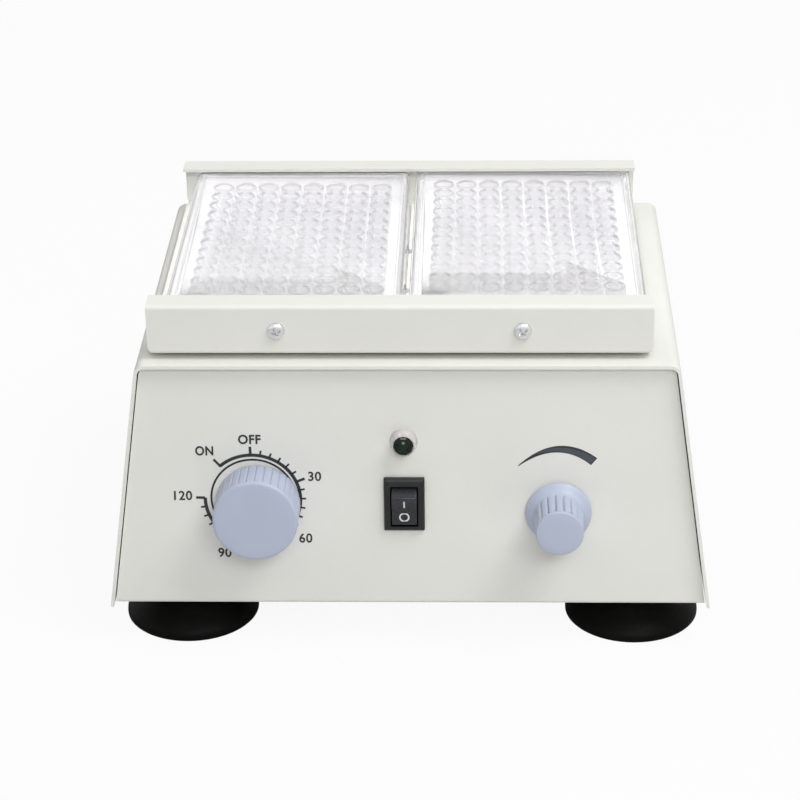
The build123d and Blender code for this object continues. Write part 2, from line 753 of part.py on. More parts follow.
def make_timer_knob():
    length = timer_knob_length
    crown = length - 1.3
    knob = fluted_ring(timer_knob_base_radius, timer_knob_face_radius, knob_gap, crown, timer_knob_flutes, 0.55)
    knob += stack([(timer_knob_face_radius, crown), (timer_knob_face_radius, crown + 0.6),
                   (timer_knob_face_radius - 0.6, length - 0.2), (timer_knob_face_radius - 4, length)],
                  timer_knob_flutes)
    knob -= hole(timer_knob_face_radius - 2.0, -1, crown - 2.0)
    knob += disc(5.5, 2.2, crown - 1.9)
    knob -= d_shaft(-1, 12.5, 4.0)
    return front_plane(timer_place) * knob


def make_timer_shaft():
    return front_plane(timer_place) * d_shaft(-14.0, 12.5, 4.0)


def make_timer_body():
    bracket = rounded_block(timer_screw_spacing + 10, 20.0, 4.0, -sheet - 1.2, -sheet)
    drum_top = -sheet - 1.2
    drum = disc(timer_drum_radius, drum_top - timer_drum_depth, drum_top - 1.0)
    body = bracket + drum + disc(12.0, drum_top - 1.0, drum_top)
    body += disc(4.6, -sheet, -0.2)
    body -= hole(control_shaft_radius + running_clearance, -16.0, 1)
    for side in (-1, 1):
        body -= hole(m3_radius, -8.0, 1, side * timer_screw_spacing / 2)
        body += block(0.8, 6.3, drum_top - timer_drum_depth - 5, drum_top - timer_drum_depth, side * 8.0, 0)
    return front_plane(timer_place) * body


def make_timer_screws():
    return [front_plane(timer_place) * Pos(side * timer_screw_spacing / 2, 0, 0) * pan_screw(6.0)
            for side in (-1, 1)]


def make_speed_knob():
    length = speed_knob_length
    crown = length - 1.0
    neck = 4.6
    knob = stack([(speed_knob_skirt_radius, knob_gap), (speed_knob_skirt_radius, 1.5),
                  (speed_knob_skirt_radius - 1.4, 2.6), (speed_knob_base_radius + 0.1, neck)], 32)
    knob += fluted_ring(speed_knob_base_radius, speed_knob_face_radius, neck, crown, speed_knob_flutes, 0.8)
    knob += stack([(speed_knob_face_radius, crown), (speed_knob_face_radius, crown + 0.5),
                   (speed_knob_face_radius - 0.5, length)], speed_knob_flutes)
    knob -= hole(7.4, -1, 3.4)
    knob -= d_shaft(-1, 13.0, 4.5)
    return front_plane(speed_place) * knob


def make_speed_shaft():
    return front_plane(speed_place) * d_shaft(-8.0, 13.0, 4.5)


def make_speed_pot():
    pot = disc(pot_radius, -sheet - pot_depth, -sheet) + disc(3.6, -sheet, 3.1)
    pot += block(12.0, 4.0, -sheet - 7.0, -sheet - 5.8, 0, -pot_radius - 1.0)
    pot -= hole(control_shaft_radius + running_clearance, -9.0, 4)
    return front_plane(speed_place) * pot


def make_pot_nut():
    nut = hex_nut(0.5, 2.6, 5.6, 3.6) + ring(6.2, 3.6, 0, 0.5)
    return front_plane(speed_place) * nut


def make_switch_frame():
    body_size = (switch_frame_width - 2 * switch_body_inset, switch_frame_height - 2 * switch_body_inset)
    bezel = block(switch_frame_width, switch_frame_height, 0, switch_frame_thickness)
    bezel = chamfer(bezel.edges().group_by(Axis.Z)[-1], 0.8)
    frame = bezel + block(*body_size, -switch_body_depth, 0)
    opening = (rocker_width + 2 * rocker_side_clearance, 2 * (rocker_radius + rocker_side_clearance))
    frame -= block(*opening, -switch_body_depth + 2, switch_frame_thickness + 1)
    pin_length = rocker_width + 2 * rocker_side_clearance + 1.4
    frame -= (Pos(0, 0, -rocker_pivot_depth) * Rot(0, 90, 0)
              * hole(rocker_pin_radius + running_clearance, -pin_length / 2 - 0.1, pin_length / 2 + 0.1))
    for v in (-5.0, 0.0):
        frame += block(4.8, 0.8, -switch_body_depth - 8, -switch_body_depth, 0, v)
    return front_plane(switch_place) * frame


def make_rocker():
    spread = radians(rocker_half_angle)
    tail = radians(20)
    r = rocker_radius

    def at(angle):
        return r * cos(angle), r * sin(angle)

    right_top, right_low = at(pi / 2 - spread), at(-tail)
    left_top, left_low = at(pi / 2 + spread), at(pi + tail)
    outline = [ThreePointArc(right_low, at((pi / 2 - spread - tail) / 2), right_top),
               Polyline(right_top, (0, right_top[1] - 0.7), left_top),
               ThreePointArc(left_top, at(pi - (pi / 2 - spread - tail) / 2), left_low),
               Line(left_low, right_low)]
    rocker = extrude(Plane.YZ * make_face(outline), amount=rocker_width / 2, both=True)
    pin_length = rocker_width + 2 * rocker_side_clearance + 1.4
    rocker += Rot(0, 90, 0) * disc(rocker_pin_radius, -pin_length / 2, pin_length / 2)
    rocker = Rot(rocker_throw / 2, 0, 0) * rocker
    return front_plane(switch_place) * (Pos(0, 0, -rocker_pivot_depth) * rocker)


def make_lamp_bezel():
    bezel = stack([(lamp_body_radius, -lamp_body_depth), (lamp_body_radius, 0), (lamp_bezel_radius, 0),
                   (lamp_bezel_radius, 0.8), (lamp_top_radius, lamp_height)], 24)
    bezel -= Pos(0, 0, -lamp_body_depth - 1) * extrude(RegularPolygon(lamp_lens_radius, 24), amount=30)
    return front_plane(lamp_place) * bezel


def make_lamp_lens():
    lens = stack([(lamp_lens_radius, -8.0), (lamp_lens_radius, lamp_height - 0.4),
                  (lamp_lens_radius - 0.7, lamp_height + 0.3), (0.8, lamp_height + 0.9)], 24)
    return front_plane(lamp_place) * lens


def make_lamp_nut():
    return front_plane(lamp_place) * hex_nut(-sheet - 2.4, -sheet, 5.8, lamp_body_radius)


def make_power_inlet():
    flange = rounded_block(inlet_flange_width, inlet_flange_height, 5.0, 0, inlet_flange_thickness)
    body = flange + block(inlet_body_width, inlet_body_height, -inlet_body_depth, 0)
    mouth_floor = inlet_flange_thickness - inlet_mouth_depth
    half_w, half_h = inlet_mouth_width / 2, inlet_mouth_height / 2
    cut = 4.0
    mouth = make_face(Polyline((-half_w, -half_h), (half_w, -half_h), (half_w, half_h - cut),
                               (half_w - cut, half_h), (-half_w + cut, half_h), (-half_w, half_h - cut),
                               close=True))
    body -= Pos(0, 0, mouth_floor) * extrude(mouth, amount=inlet_mouth_depth + 1)
    pin_w, pin_h, pin_l = inlet_pin_size
    for u, v in inlet_pin_places:
        body -= block(pin_w, pin_h, -inlet_body_depth - 1, mouth_floor + 1, u, v)
    for side in (-1, 1):
        body -= hole(m3_radius, -1, inlet_flange_thickness + 1, side * inlet_screw_spacing / 2)
    return rear_plane(inlet_place) * body


def make_inlet_pins():
    mouth_floor = inlet_flange_thickness - inlet_mouth_depth
    pin_w, pin_h, pin_l = inlet_pin_size
    return [rear_plane(inlet_place) * block(pin_w, pin_h, -inlet_body_depth - 7, mouth_floor + pin_l, u, v)
            for u, v in inlet_pin_places]


def make_inlet_screws():
    return [rear_plane(inlet_place) * Pos(side * inlet_screw_spacing / 2, 0, inlet_flange_thickness)
            * pan_screw(7.0) for side in (-1, 1)]


def make_control_board():
    low = floor_z + board_lift
    x, y = board_centre
    board = block(board_size[0], board_size[1], low, low + board_size[2], x, y)
    for hx, hy in board_hole_places():
        board -= hole(m3_radius, low - 1, low + 5, hx, hy)
    return board


def make_board_standoffs():
    standoff = ring(3.0, m3_radius, floor_z, floor_z + board_lift)
    return [Pos(x, y, 0) * standoff for x, y in board_hole_places()]


def make_board_screws():
    top = floor_z + board_lift + board_size[2]
    length = board_lift + board_size[2] + sheet
    return [Pos(x, y, top) * pan_screw(length) for x, y in board_hole_places()]


def make_board_parts():
    low = floor_z + board_lift + board_size[2]
    x, y = board_centre
    heat_sink = block(24.0, 12.0, low, low + 4, x + 6, y + 20)
    for k in range(5):
        heat_sink += block(1.6, 12.0, low + 4, low + 16, x - 4 + 5 * k, y + 20)
    terminals = block(30.0, 9.0, low, low + 11, x + 2, y - 24)
    for k in range(5):
        terminals -= block(3.6, 5.0, low + 8, low + 12, x - 10 + 6 * k, y - 24)
    capacitor = disc(6.5, low, low + 20, x - 12, y - 6)
    relay = block(15.0, 19.0, low, low + 15, x + 12, y - 4)
    return [heat_sink, terminals, capacitor, relay]


def make_fuse():
    low = floor_z + board_lift + board_size[2]
    x, y = board_centre
    return Pos(x - 14, y + 14, low + 3.4) * Rot(90, 0, 0) * disc(2.6, -10.0, 10.0)


def make_fuse_clips():
    low = floor_z + board_lift + board_size[2]
    x, y = board_centre
    clips = []
    for side in (-1, 1):
        clip = block(7.0, 5.0, low, low + 5.6) - Pos(0, 0, low + 3.4) * Rot(90, 0, 0) * hole(2.6, -4.0, 4.0)
        clip -= block(4.0, 6.0, low + 4.0, low + 7)
        clips.append(Pos(x - 14, y + 14 + side * 7.0, 0) * clip)
    return clips


def make_transformer_core():
    width, depth, height = transformer_size
    x, y = transformer_centre
    core = block(width, depth, floor_z, floor_z + height, x, y)
    core -= block(width - 2 * transformer_yoke, depth + 1, floor_z + 8, floor_z + height - 8, x, y)
    for hx, hy in transformer_hole_places():
        foot = block(width, transformer_foot, floor_z, floor_z + 1.6, hx, hy)
        core += foot - hole(m3_radius, floor_z - 1, floor_z + 3, hx, hy)
    return core


def make_transformer_coil():
    width, depth, height = transformer_size
    x, y = transformer_centre
    return block(width - 2 * transformer_yoke, depth + 6, floor_z + 8, floor_z + height - 8, x, y)


def make_transformer_screws():
    return [Pos(x, y, floor_z + 1.6) * pan_screw(1.6 + sheet) for x, y in transformer_hole_places()]


def make_parts():
    """Every node by name, as one solid or a list of solids."""
    parts = {
        "top_cover": make_top_cover(),
        "chassis": make_chassis(),
        "cover_screws": make_cover_screws(),
        "foot_studs": make_foot_studs(),
        "foot_nuts": make_foot_nuts(),
        "motor_plate": make_motor_plate(),
        "motor_plate_pillars": make_pillars(),
        "pillar_screws": make_pillar_screws(),
        "motor_can": make_motor_can(),
        "motor_plate_screws": make_motor_plate_screws(),
        "motor_shaft": make_motor_shaft(),
        "drive_crank": make_drive_crank(),
        "counterweight": make_counterweight(),
        "drive_bearing": make_drive_bearing(),
        "tray_hub": make_tray_hub(),
        "idler_sleeves": make_idler_sleeves(),
        "tray_idler_hubs": make_tray_idler_hubs(),
        "tray_idler_bushes": make_tray_idler_bushes(),
        "tray_floor_screws": make_tray_floor_screws(),
        "tray": make_tray(),
        "spring_screws": make_spring_screws(),
        "spring_nuts": make_spring_nuts(),
        "timer_knob": make_timer_knob(),
        "timer_shaft": make_timer_shaft(),
        "timer_body": make_timer_body(),
        "timer_screws": make_timer_screws(),
        "speed_knob": make_speed_knob(),
        "speed_shaft": make_speed_shaft(),
        "speed_control": make_speed_pot(),
        "speed_control_nut": make_pot_nut(),
        "switch_frame": make_switch_frame(),
        "rocker": make_rocker(),
        "lamp_bezel": make_lamp_bezel(),
        "lamp_lens": make_lamp_lens(),
        "lamp_nut": make_lamp_nut(),
        "power_inlet": make_power_inlet(),
        "inlet_pins": make_inlet_pins(),
        "inlet_screws": make_inlet_screws(),
        "control_board": make_control_board(),
        "board_standoffs": make_board_standoffs(),
        "board_screws": make_board_screws(),
        "board_parts": make_board_parts() + make_fuse_clips(),
        "fuse": make_fuse(),
        "transformer_core": make_transformer_core(),
        "transformer_coil": make_transformer_coil(),
        "transformer_screws": make_transformer_screws(),
    }
    for name, (x, y) in zip(foot_names, foot_places):
        parts[name] = make_foot(x, y)
    for name, (x, y) in zip(idler_names, idler_places):
        parts[name + "_crank"] = make_idler_crank(x, y)
    parts["idler_housings"] = [make_idler_housing(x, y) for x, y in idler_places]
    for side, name in ((-1, "left"), (1, "right")):
        parts["plate_spring_" + name] = make_plate_spring(side)
        parts["microplate_" + name] = make_microplate(side)
        parts["lid_" + name] = make_lid(side)
    return parts


def as_compound(shape):
    """One compound that holds every solid of a node."""
    shapes = shape if isinstance(shape, list) else [shape]
    return Compound(children=[solid for s in shapes for solid in s.solids()])


def export_parts():
    """Move every node so that the origin is under the middle of the whole, and write it."""
    nodes = {name: as_compound(shape) for name, shape in make_parts().items()}
    whole = Compound(children=[Compound(children=node.solids()) for node in nodes.values()]).bounding_box()
    shift = Pos(-(whole.min.X + whole.max.X) / 2, -(whole.min.Y + whole.max.Y) / 2, -whole.min.Z)
    os.makedirs("parts", exist_ok=True)
    for name, node in nodes.items():
        export_step(shift * as_compound(node), os.path.join("parts", name + ".step"))


export_parts()
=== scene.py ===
import math

import bmesh
import bpy
from mathutils import Matrix, Vector


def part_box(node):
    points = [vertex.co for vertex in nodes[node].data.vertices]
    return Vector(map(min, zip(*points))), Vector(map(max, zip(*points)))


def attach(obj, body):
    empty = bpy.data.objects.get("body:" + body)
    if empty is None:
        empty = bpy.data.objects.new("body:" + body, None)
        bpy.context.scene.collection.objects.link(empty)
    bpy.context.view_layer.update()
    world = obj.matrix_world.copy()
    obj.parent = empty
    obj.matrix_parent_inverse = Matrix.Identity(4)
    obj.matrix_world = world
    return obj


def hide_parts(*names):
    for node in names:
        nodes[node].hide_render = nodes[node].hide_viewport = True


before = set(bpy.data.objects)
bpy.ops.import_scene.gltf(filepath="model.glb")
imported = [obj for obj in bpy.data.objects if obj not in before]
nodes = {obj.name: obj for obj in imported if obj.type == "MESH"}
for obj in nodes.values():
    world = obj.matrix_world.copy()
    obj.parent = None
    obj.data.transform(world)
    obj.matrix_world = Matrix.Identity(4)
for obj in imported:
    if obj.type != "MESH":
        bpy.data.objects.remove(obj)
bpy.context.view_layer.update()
MM = 0.001

CASE_TOP_Z = 113.3
CASE_TOP_HALF = 97.0
CASE_FLARE = 13.5 / 95.7                        # how far a side moves out for each millimetre down
tray_low, tray_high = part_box("tray")
ROW_Y = (tray_low.y + tray_high.y) / 2          # middle of the case from front to back
LEAN = math.radians(3.85)                       # of the front panel
PANEL_TOP_Z = 0.1115
PANEL_TOP_Y = ROW_Y - 0.07357


# Camera, as fitted to the photograph

IMAGE_SIZE = 800
FOCAL_PIXELS = 2596.2
CENTRE_OFF_X, CENTRE_OFF_Y = -2.84, -6.8        # of the picture's middle from the lens axis, in pixels
SENSOR = 36.0
CAMERA_PLACE = (0.02658, -0.9045 + ROW_Y, 0.51425)


def make_camera():
    pitch, yaw, roll = math.radians(26.41), math.radians(-1.935), math.radians(-0.854)
    forward = Vector((math.sin(yaw) * math.cos(pitch), math.cos(yaw) * math.cos(pitch), -math.sin(pitch)))
    right = Vector((math.cos(yaw), -math.sin(yaw), 0))
    up = right.cross(forward)
    rolled_right = math.cos(roll) * right + math.sin(roll) * up
    rolled_up = -math.sin(roll) * right + math.cos(roll) * up
    data = bpy.data.cameras.new("photo_camera")
    data.sensor_fit = "HORIZONTAL"
    data.sensor_width = SENSOR
    data.lens = FOCAL_PIXELS * SENSOR / IMAGE_SIZE
    data.shift_x = CENTRE_OFF_X / IMAGE_SIZE
    data.shift_y = CENTRE_OFF_Y / IMAGE_SIZE
    data.clip_start = 0.01
    data.clip_end = 20.0
    camera = bpy.data.objects.new("photo_camera", data)
    bpy.context.scene.collection.objects.link(camera)
    rows = Matrix((rolled_right, rolled_up, -forward)).transposed().to_4x4()
    camera.matrix_world = Matrix.Translation(CAMERA_PLACE) @ rows
    bpy.context.scene.camera = camera


make_camera()


# Materials

def new_material(name):
    mat = bpy.data.materials.new(name)
    mat.use_nodes = True
    tree = mat.node_tree
    return mat, tree, tree.nodes["Principled BSDF"]


def link(tree, a, b):
    tree.links.new(a, b)


def coords(tree):
    return tree.nodes.new("ShaderNodeTexCoord").outputs["Object"]


def noise(tree, vector, scale, detail=3.0, rough=0.5):
    node = tree.nodes.new("ShaderNodeTexNoise")
    node.inputs["Scale"].default_value = scale
    node.inputs["Detail"].default_value = detail
    node.inputs["Roughness"].default_value = rough
    link(tree, vector, node.inputs["Vector"])
    return node.outputs["Fac"]


def remap(tree, value, low, high, to_low, to_high):
    node = tree.nodes.new("ShaderNodeMapRange")
    node.inputs["From Min"].default_value = low
    node.inputs["From Max"].default_value = high
    node.inputs["To Min"].default_value = to_low
    node.inputs["To Max"].default_value = to_high
    link(tree, value, node.inputs["Value"])
    return node.outputs["Result"]


def blend_colour(tree, factor, colour_a, colour_b):
    node = tree.nodes.new("ShaderNodeMix")
    node.data_type = "RGBA"
    node.inputs["A"].default_value = (*colour_a, 1)
    node.inputs["B"].default_value = (*colour_b, 1)
    link(tree, factor, node.inputs["Factor"])
    return node.outputs["Result"]


def bump(tree, shader, height, distance, strength=1.0):
    node = tree.nodes.new("ShaderNodeBump")
    node.inputs["Distance"].default_value = distance
    node.inputs["Strength"].default_value = strength
    link(tree, height, node.inputs["Height"])
    link(tree, node.outputs["Normal"], shader.inputs["Normal"])


def grained(name, colour, shade, rough_low, rough_high, grain, depth, metallic=0.0, coarse=60.0, gloss=0.5):
    """Coat or plastic with fine grain, slight colour variation and uneven gloss."""
    mat, tree, shader = new_material(name)
    where = coords(tree)
    cloud = noise(tree, where, coarse, 4.0)
    fine = noise(tree, where, grain, 2.0, 0.6)
    dark = tuple(c * shade for c in colour)
    mixed = blend_colour(tree, remap(tree, cloud, 0.3, 0.7, 0.0, 1.0), dark, colour)
    link(tree, mixed, shader.inputs["Base Color"])
    link(tree, remap(tree, fine, 0.3, 0.7, rough_low, rough_high), shader.inputs["Roughness"])
    shader.inputs["Metallic"].default_value = metallic
    shader.inputs["Specular IOR Level"].default_value = gloss
    bump(tree, shader, fine, depth)
    return mat


def clear(name, colour, rough, shadow, ior, clearness):
    """Clear moulded polystyrene that lets light through to what lies below."""
    mat, tree, shader = new_material(name)
    where = coords(tree)
    ripple = noise(tree, where, 180.0, 2.0)
    shader.inputs["Base Color"].default_value = (*colour, 1)
    shader.inputs["IOR"].default_value = ior
    shader.inputs["Transmission Weight"].default_value = clearness
    link(tree, remap(tree, ripple, 0.3, 0.7, rough * 0.6, rough * 1.4), shader.inputs["Roughness"])
    bump(tree, shader, ripple, 0.00003, 0.5)
    through = tree.nodes.new("ShaderNodeBsdfTransparent")
    through.inputs["Color"].default_value = (shadow, shadow, shadow, 1)
    path = tree.nodes.new("ShaderNodeLightPath")
    mix = tree.nodes.new("ShaderNodeMixShader")
    out = tree.nodes["Material Output"]
    link(tree, path.outputs["Is Shadow Ray"], mix.inputs["Fac"])
    link(tree, shader.outputs["BSDF"], mix.inputs[1])
    link(tree, through.outputs["BSDF"], mix.inputs[2])
    link(tree, mix.outputs["Shader"], out.inputs["Surface"])
    return mat


PAINT = grained("powder_coat", (0.79, 0.79, 0.745), 0.975, 0.42, 0.62, 2600.0, 0.00006, coarse=25.0)
PAINT_TRAY = grained("powder_coat_tray", (0.79, 0.79, 0.745), 0.97, 0.42, 0.62, 2600.0, 0.00006, coarse=30.0)
KNOB = grained("knob_plastic", (0.455, 0.50, 0.625), 0.96, 0.30, 0.44, 1800.0, 0.00002,
               coarse=90.0, gloss=0.4)
BLACK = grained("black_plastic", (0.013, 0.0135, 0.0135), 0.8, 0.30, 0.44, 1500.0, 0.00001,
                coarse=120.0, gloss=0.35)
ROCKER = grained("rocker_plastic", (0.020, 0.021, 0.026), 0.85, 0.24, 0.34, 900.0, 0.000002,
                 coarse=120.0, gloss=0.4)
RUBBER = grained("foot_rubber", (0.0035, 0.0035, 0.0032), 0.6, 0.40, 0.58, 900.0, 0.00003,
                 coarse=80.0, gloss=0.06)
STEEL = grained("zinc_steel", (0.62, 0.63, 0.65), 0.85, 0.25, 0.42, 800.0, 0.00001, 1.0, 200.0)
BRIGHT = grained("bright_screw", (0.75, 0.76, 0.78), 0.9, 0.18, 0.3, 900.0, 0.00001, 1.0, 300.0)
ALLOY = grained("machined_alloy", (0.78, 0.79, 0.80), 0.9, 0.25, 0.4, 1200.0, 0.00001, 1.0, 150.0)
IRON = grained("motor_enamel", (0.10, 0.10, 0.11), 0.8, 0.35, 0.5, 900.0, 0.00003, 0.0, 100.0)
BRONZE = grained("sintered_bronze", (0.55, 0.36, 0.17), 0.85, 0.35, 0.55, 2500.0, 0.00002, 1.0, 200.0)
BRASS = grained("plated_brass", (0.80, 0.62, 0.30), 0.9, 0.2, 0.35, 900.0, 0.00001, 1.0, 200.0)
BOARD = grained("board_lacquer", (0.02, 0.16, 0.06), 0.8, 0.3, 0.45, 900.0, 0.00002, 0.0, 120.0)
TAPE = grained("coil_tape", (0.62, 0.44, 0.08), 0.85, 0.4, 0.6, 700.0, 0.00002, 0.0, 120.0)
INK = grained("print_ink", (0.022, 0.022, 0.026), 0.8, 0.45, 0.6, 2000.0, 0.00001, 0.0, 150.0)
INK_GREY = grained("print_grey", (0.058, 0.066, 0.080), 0.85, 0.45, 0.6, 2000.0, 0.00001, 0.0, 150.0)
MARK = grained("switch_mark", (0.78, 0.78, 0.76), 0.9, 0.4, 0.55, 2000.0, 0.00001, 0.0, 150.0)
PLATE = clear("clear_plate", (0.985, 0.979, 0.998), 0.08, 0.997, 1.42, 0.90)
LID = clear("clear_lid", (0.984, 0.980, 0.990), 0.06, 0.997, 1.42, 0.95)
LAMP_CLEAR = clear("lamp_clear", (0.80, 0.77, 0.765), 0.14, 0.75, 1.4, 0.6)
LAMP_GREEN = grained("lamp_green", (0.001, 0.014, 0.006), 0.4, 0.05, 0.10, 500.0, 0.00004, 0.0, 900.0, 0.3)


# Mesh helpers, in millimetres unless they say metres

def mesh_piece(name, points, faces, material, matrix, smooth=35.0):
    """New mesh object from points in millimetres, placed by a matrix in metres."""
    mesh = bpy.data.meshes.new(name)
    mesh.from_pydata([Vector(p) * MM for p in points], [], faces)
    work = bmesh.new()
    work.from_mesh(mesh)
    bmesh.ops.remove_doubles(work, verts=work.verts, dist=0.00001)
    bmesh.ops.recalc_face_normals(work, faces=work.faces)
    for face in work.faces:
        face.smooth = True
    for edge in work.edges:
        if len(edge.link_faces) == 2 and edge.calc_face_angle(0) > math.radians(smooth):
            edge.smooth = False
    work.to_mesh(mesh)
    work.free()
    mesh.transform(matrix)
    mesh.materials.append(material)
    obj = bpy.data.objects.new(name, mesh)
    bpy.context.scene.collection.objects.link(obj)
    return obj


def ring_faces(rings, count):
    """Faces between neighbouring rings that have count points each."""
    faces = []
    for i in range(rings - 1):
        for k in range(count):
            n = (k + 1) % count
            faces.append((i * count + k, i * count + n, (i + 1) * count + n, (i + 1) * count + k))
    return faces


def lathe(profile, count, radius=None):
    """Points and faces of a turned form from (radius, height) pairs; radius may bend each ring."""
    points = []
    for r, z in profile:
        for k in range(count):
            a = 2 * math.pi * k / count
            rr = radius(r, z, a) if radius else r
            points.append((rr * math.cos(a), rr * math.sin(a), z))
    last = (len(profile) - 1) * count
    ends = [tuple(range(count)), tuple(last + k for k in range(count))]
    return points, ring_faces(len(profile), count) + ends


def panel_matrix(x, z):
    """Matrix of a place on the front panel's outer face, in metres, its Z pointing out."""
    y = PANEL_TOP_Y - (PANEL_TOP_Z - z * MM) * math.tan(LEAN)
    out = Vector((0, -math.cos(LEAN), math.sin(LEAN)))
    up = Vector((0, math.sin(LEAN), math.cos(LEAN)))
    rows = Matrix((Vector((1, 0, 0)), up, out)).transposed().to_4x4()
    return Matrix.Translation((x * MM, y, z * MM)) @ rows


def prism(outline, low, high):
    """Points and faces of a flat outline given some thickness."""
    n = len(outline)
    points = [(x, y, low) for x, y in outline] + [(x, y, high) for x, y in outline]
    faces = [tuple(range(n)), tuple(range(n, 2 * n))]
    faces += [(k, (k + 1) % n, n + (k + 1) % n, n + k) for k in range(n)]
    return points, faces


PRINT_LOW, PRINT_HIGH = -0.02, 0.05             # of the ink, from the panel's face


def strip(r0, r1, start, end, steps, low=PRINT_LOW, high=PRINT_HIGH):
    """Arc strip as one skin; angles run clockwise from the top, in degrees."""
    closed = abs(end - start) >= 360
    count = steps if closed else steps + 1
    points, faces = [], []
    for k in range(count):
        a = math.radians(90 - (start + (end - start) * k / steps))
        for r, z in ((r0, low), (r1, low), (r1, high), (r0, high)):
            points.append((r * math.cos(a), r * math.sin(a), z))
    for k in range(steps):
        n = (k + 1) % count
        faces += [(4 * k + j, 4 * k + (j + 1) % 4, 4 * n + (j + 1) % 4, 4 * n + j) for j in range(4)]
    if not closed:
        faces += [(0, 1, 2, 3), tuple(4 * steps + j for j in range(4))]
    return points, faces


def merge(shapes):
    """One list of points and faces from several."""
    points, faces = [], []
    for more_points, more_faces in shapes:
        shift = len(points)
        points += more_points
        faces += [tuple(i + shift for i in face) for face in more_faces]
    return points, faces


def add_bevel(obj, width_mm, segments, angle):
    mod = obj.modifiers.new("edge", "BEVEL")
    mod.width = width_mm * MM
    mod.segments = segments
    mod.limit_method = "ANGLE"
    mod.angle_limit = math.radians(angle)


def rounded(x, y, half_x, half_y, radius):
    """Moves a point on a rectangle's edge onto the same rectangle with round corners."""
    cx, cy = half_x - radius, half_y - radius
    ax, ay = abs(x) - cx, abs(y) - cy
    if ax > 0 and ay > 0:
        length = math.hypot(ax, ay)
        return math.copysign(cx + ax / length * radius, x), math.copysign(cy + ay / length * radius, y)
    return x, y


def rect_ring(half_x, half_y, radius, per_x, per_y):
    """Points round a rectangle with round corners, starting at its low corner."""
    raw = [(-half_x + 2 * half_x * k / per_x, -half_y) for k in range(per_x)]
    raw += [(half_x, -half_y + 2 * half_y * k / per_y) for k in range(per_y)]
    raw += [(half_x - 2 * half_x * k / per_x, half_y) for k in range(per_x)]
    raw += [(-half_x, half_y - 2 * half_y * k / per_y) for k in range(per_y)]
    return [rounded(x, y, half_x, half_y, radius) for x, y in raw]


def ring_stack(rings, close_low=True, close_high=True):
    """Points and faces of a form from rings of (points, height)."""
    count = len(rings[0][0])
    points = [(x, y, z) for ring, z in rings for x, y in ring]
    faces = ring_faces(len(rings), count)
    if close_low:
        faces.append(tuple(range(count)))
    if close_high:
        faces.append(tuple((len(rings) - 1) * count + k for k in range(count)))
    return points, faces


# Microplates and their lids

COLUMNS, ROWS, PITCH = 8, 12, 9.0
DECK, PLATE_TOP = 13.45, 14.35
DECK_THICKNESS = 1.2
WELL_DEPTH, WELL_FLOOR = 10.9, 1.2
CELL_SEGMENTS = 6


def cell_edges(count, half):
    inner = [(k - count / 2) * PITCH for k in range(1, count)]
    return [-half] + inner + [half]


def cell_ring(x0, x1, y0, y1):
    n = CELL_SEGMENTS
    ring = [(x0 + (x1 - x0) * k / n, y0) for k in range(n)]
    ring += [(x1, y0 + (y1 - y0) * k / n) for k in range(n)]
    ring += [(x1 - (x1 - x0) * k / n, y1) for k in range(n)]
    ring += [(x0, y1 - (y1 - y0) * k / n) for k in range(n)]
    return ring


def circle(cx, cy, r):
    n = 4 * CELL_SEGMENTS
    step = 2 * math.pi / n
    return [(cx + r * math.cos(-0.75 * math.pi + k * step), cy + r * math.sin(-0.75 * math.pi + k * step))
            for k in range(n)]


def deck_boundary(half_x, half_y):
    """Points round the deck in the same places as the outer cells' corners."""
    xs, ys = cell_edges(COLUMNS, half_x), cell_edges(ROWS, half_y)

    def fine(edges):
        values = []
        for a, b in zip(edges, edges[1:]):
            values += [a + (b - a) * k / CELL_SEGMENTS for k in range(CELL_SEGMENTS)]
        return values

    fx, fy = fine(xs), fine(ys)
    ring = [(x, -half_y) for x in fx] + [(half_x, y) for y in fy]
    ring += [(-x, half_y) for x in fx] + [(-half_x, -y) for y in fy]
    return ring


